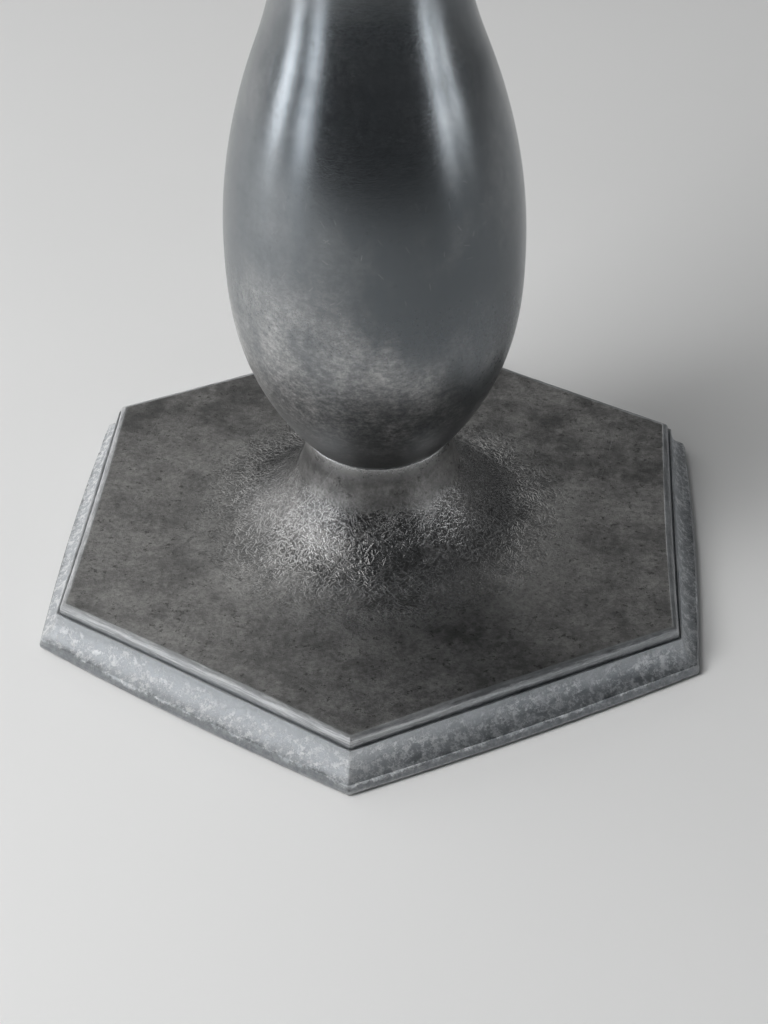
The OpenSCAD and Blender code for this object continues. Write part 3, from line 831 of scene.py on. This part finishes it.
def table_top():
    """Smooth pale painted surface, faintly clouded, which passes into the backdrop's tone far off."""
    f = Finish("pale table", Roughness=0.55, Specular_IOR_Level=0.25)
    cloud = f.noise(90.0, 3.0, 0.5)
    colour = f.mix(cloud, (0.775, 0.775, 0.77, 1.0), (0.80, 0.80, 0.795, 1.0))
    f.wear(Base_Color=colour, Normal=f.bump(0.02 * f.noise(3.0, 2.0)))
    far = f.value(0, "ShaderNodeEmission", None, {"Color": WHITE, "Strength": BACKDROP})
    share = f.vector("LENGTH", f.place).step(*TABLE_FADE) * f.value("Is Camera Ray", "ShaderNodeLightPath")
    near = Sock(f, f.shader.outputs[0])
    f.feed(f.out.inputs[0], f.value(0, "ShaderNodeMixShader", None, {0: share, 1: near, 2: far}))
    return f.material


# ---------------------------------------------------------------- pieces

cast, satin, turned = cast_pewter(), satin_pewter(), turned_pewter()
plated = steel("plated steel", 0.55, 0.30, -0.01)
spring = steel("spring steel", 0.30, 0.38, -0.02)
spike_finish = steel("spike steel", 0.42, 0.32)
felt_finish, board_finish = felt(), board()

seen = [
    (make_foot(cast), "foot", "cast_pewter"),
    (make_body(satin), "body", "satin_pewter"),
    (make_collar(turned), "collar", "turned_pewter"),
    (make_capital(satin), "capital", "satin_pewter"),
    (make_pan(cast), "pan", "cast_pewter"),
    (make_spike(spike_finish), "spike", "spike_steel"),
    (make_felt(felt_finish), "felt_pad", "felt"),
]
for piece, node, slot in seen:
    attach(piece, "root")
    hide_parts(node)

KEPT = {
    "backing_board": board_finish,
    "clamp_washer": plated,
    "hex_nut": plated,
    "tie_rod": plated,
    "spring_washer": spring,
    "lower_disc": turned,
    "upper_disc": turned,
}
for name, finish in KEPT.items():
    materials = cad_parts[name].data.materials
    if len(materials) == 0:
        materials.append(finish)
    for place in range(len(materials)):
        materials[place] = finish

# ---------------------------------------------------------------- table and light

TABLE_HALF = 4.0
table_mesh = bpy.data.meshes.new("table")
corners = [(-TABLE_HALF, -TABLE_HALF, 0), (TABLE_HALF, -TABLE_HALF, 0)]
corners += [(TABLE_HALF, TABLE_HALF, 0), (-TABLE_HALF, TABLE_HALF, 0)]
table_mesh.from_pydata(corners, [], [(0, 1, 2, 3)])
table_mesh.materials.append(table_top())
table = bpy.data.objects.new("table", table_mesh)
bpy.context.scene.collection.objects.link(table)

ROOM_LIGHT = 0.075
world = bpy.data.worlds.new("room")
world.use_nodes = True
sky = Nodes(world.node_tree)
room = sky.value(0, "ShaderNodeBackground", None, {"Color": (0.97, 1.0, 1.03, 1.0), "Strength": ROOM_LIGHT})
backdrop = sky.value(0, "ShaderNodeBackground", None, {"Color": WHITE, "Strength": BACKDROP})
seen_directly = sky.value("Is Camera Ray", "ShaderNodeLightPath")
either = sky.value(0, "ShaderNodeMixShader", None, {0: seen_directly, 1: room, 2: backdrop})
sky.make("ShaderNodeOutputWorld", None, {0: either})
bpy.context.scene.world = world

AIM = Vector((0.0, 0.0, 0.06))
WATTS_PER_UNIT = 4.0  # lamp power for one unit of brightness over one square metre


def from_middle(azimuth, elevation):
    """Unit direction from the middle of the scene. Azimuth 0 is in front, and grows towards the right."""
    level = math.cos(elevation)
    return Vector((math.sin(azimuth) * level, -math.cos(azimuth) * level, math.sin(elevation)))


def soft_box(name, azimuth, elevation, away, width, height, bright, tint, shine):
    """A soft rectangular lamp that faces the object."""
    lamp = bpy.data.lights.new(name, "AREA")
    lamp.shape, lamp.size, lamp.size_y = "RECTANGLE", width, height
    lamp.energy = bright * width * height * WATTS_PER_UNIT
    lamp.color = tint
    holder = bpy.data.objects.new(name, lamp)
    back = from_middle(math.radians(azimuth), math.radians(elevation))
    holder.location = AIM + back * away
    holder.rotation_euler = back.to_track_quat("Z", "Y").to_euler()
    holder.visible_camera = False
    holder.visible_glossy = shine
    bpy.context.scene.collection.objects.link(holder)


# name, azimuth, elevation, distance, width, height, brightness, tint, whether the metal mirrors it
COOL, FAINT_COOL, PLAIN, WARM = (0.97, 1.0, 1.04), (0.98, 1.0, 1.02), (1, 1, 1), (1.0, 1.0, 0.98)
LAMPS = [
    ("left_window", -54, 8, 1.2, 0.24, 0.34, 2.4, COOL, True),
    ("left_strip", -81, 9, 1.2, 0.20, 0.44, 4.0, FAINT_COOL, True),
    ("left_wall", -122, 16, 1.5, 1.40, 0.80, 0.85, PLAIN, True),
    ("back_left_wall", -150, 45, 1.5, 1.10, 0.90, 0.58, WARM, True),
    ("back_wall", 165, 42, 1.6, 1.10, 0.90, 0.07, WARM, True),
    ("right_strip", 67, 7, 1.2, 0.14, 0.30, 3.9, FAINT_COOL, True),
    ("right_edge", 82, 7, 1.2, 0.06, 0.30, 5.5, FAINT_COOL, True),
    ("right_wall", 112, 14, 1.5, 1.00, 0.60, 0.10, PLAIN, True),
    ("ceiling_glow", -67, 42, 1.5, 0.62, 0.38, 3.1, PLAIN, True),
    ("high_key", -75, 62, 1.6, 1.00, 1.00, 1.0, PLAIN, False),
    ("front_key", -62, 50, 1.6, 0.90, 0.90, 0.9, PLAIN, False),
    ("near_key", -48, 41, 0.85, 0.45, 0.45, 4.8, PLAIN, False),
]
for lamp_row in LAMPS:
    soft_box(*lamp_row)

# ---------------------------------------------------------------- camera

LENS = 73.77
CAMERA_AZIMUTH = math.radians(5.02)
CAMERA_ELEVATION = math.radians(37.08)
CAMERA_ROLL = math.radians(-1.01)
CAMERA_AWAY = 0.4506
CAMERA_AIM = Vector((-0.00017, 0.01115, FOOT_Z / 1000.0))

camera = bpy.data.cameras.new("camera")
camera.lens, camera.sensor_width, camera.sensor_fit = LENS, 36.0, "AUTO"
camera.clip_start, camera.clip_end = 0.02, 20.0
holder = bpy.data.objects.new("camera", camera)
back = from_middle(CAMERA_AZIMUTH, CAMERA_ELEVATION)
right = (-back).cross(Vector((0, 0, 1))).normalized()
up = right.cross(-back)
across = right * math.cos(CAMERA_ROLL) + up * math.sin(CAMERA_ROLL)
upward = -right * math.sin(CAMERA_ROLL) + up * math.cos(CAMERA_ROLL)
turned_by = Matrix((across, upward, back)).transposed()
holder.rotation_euler = turned_by.to_euler()
holder.location = CAMERA_AIM + back * CAMERA_AWAY
bpy.context.scene.collection.objects.link(holder)
bpy.context.scene.camera = holder

bpy.context.scene.view_settings.view_transform = "Standard"
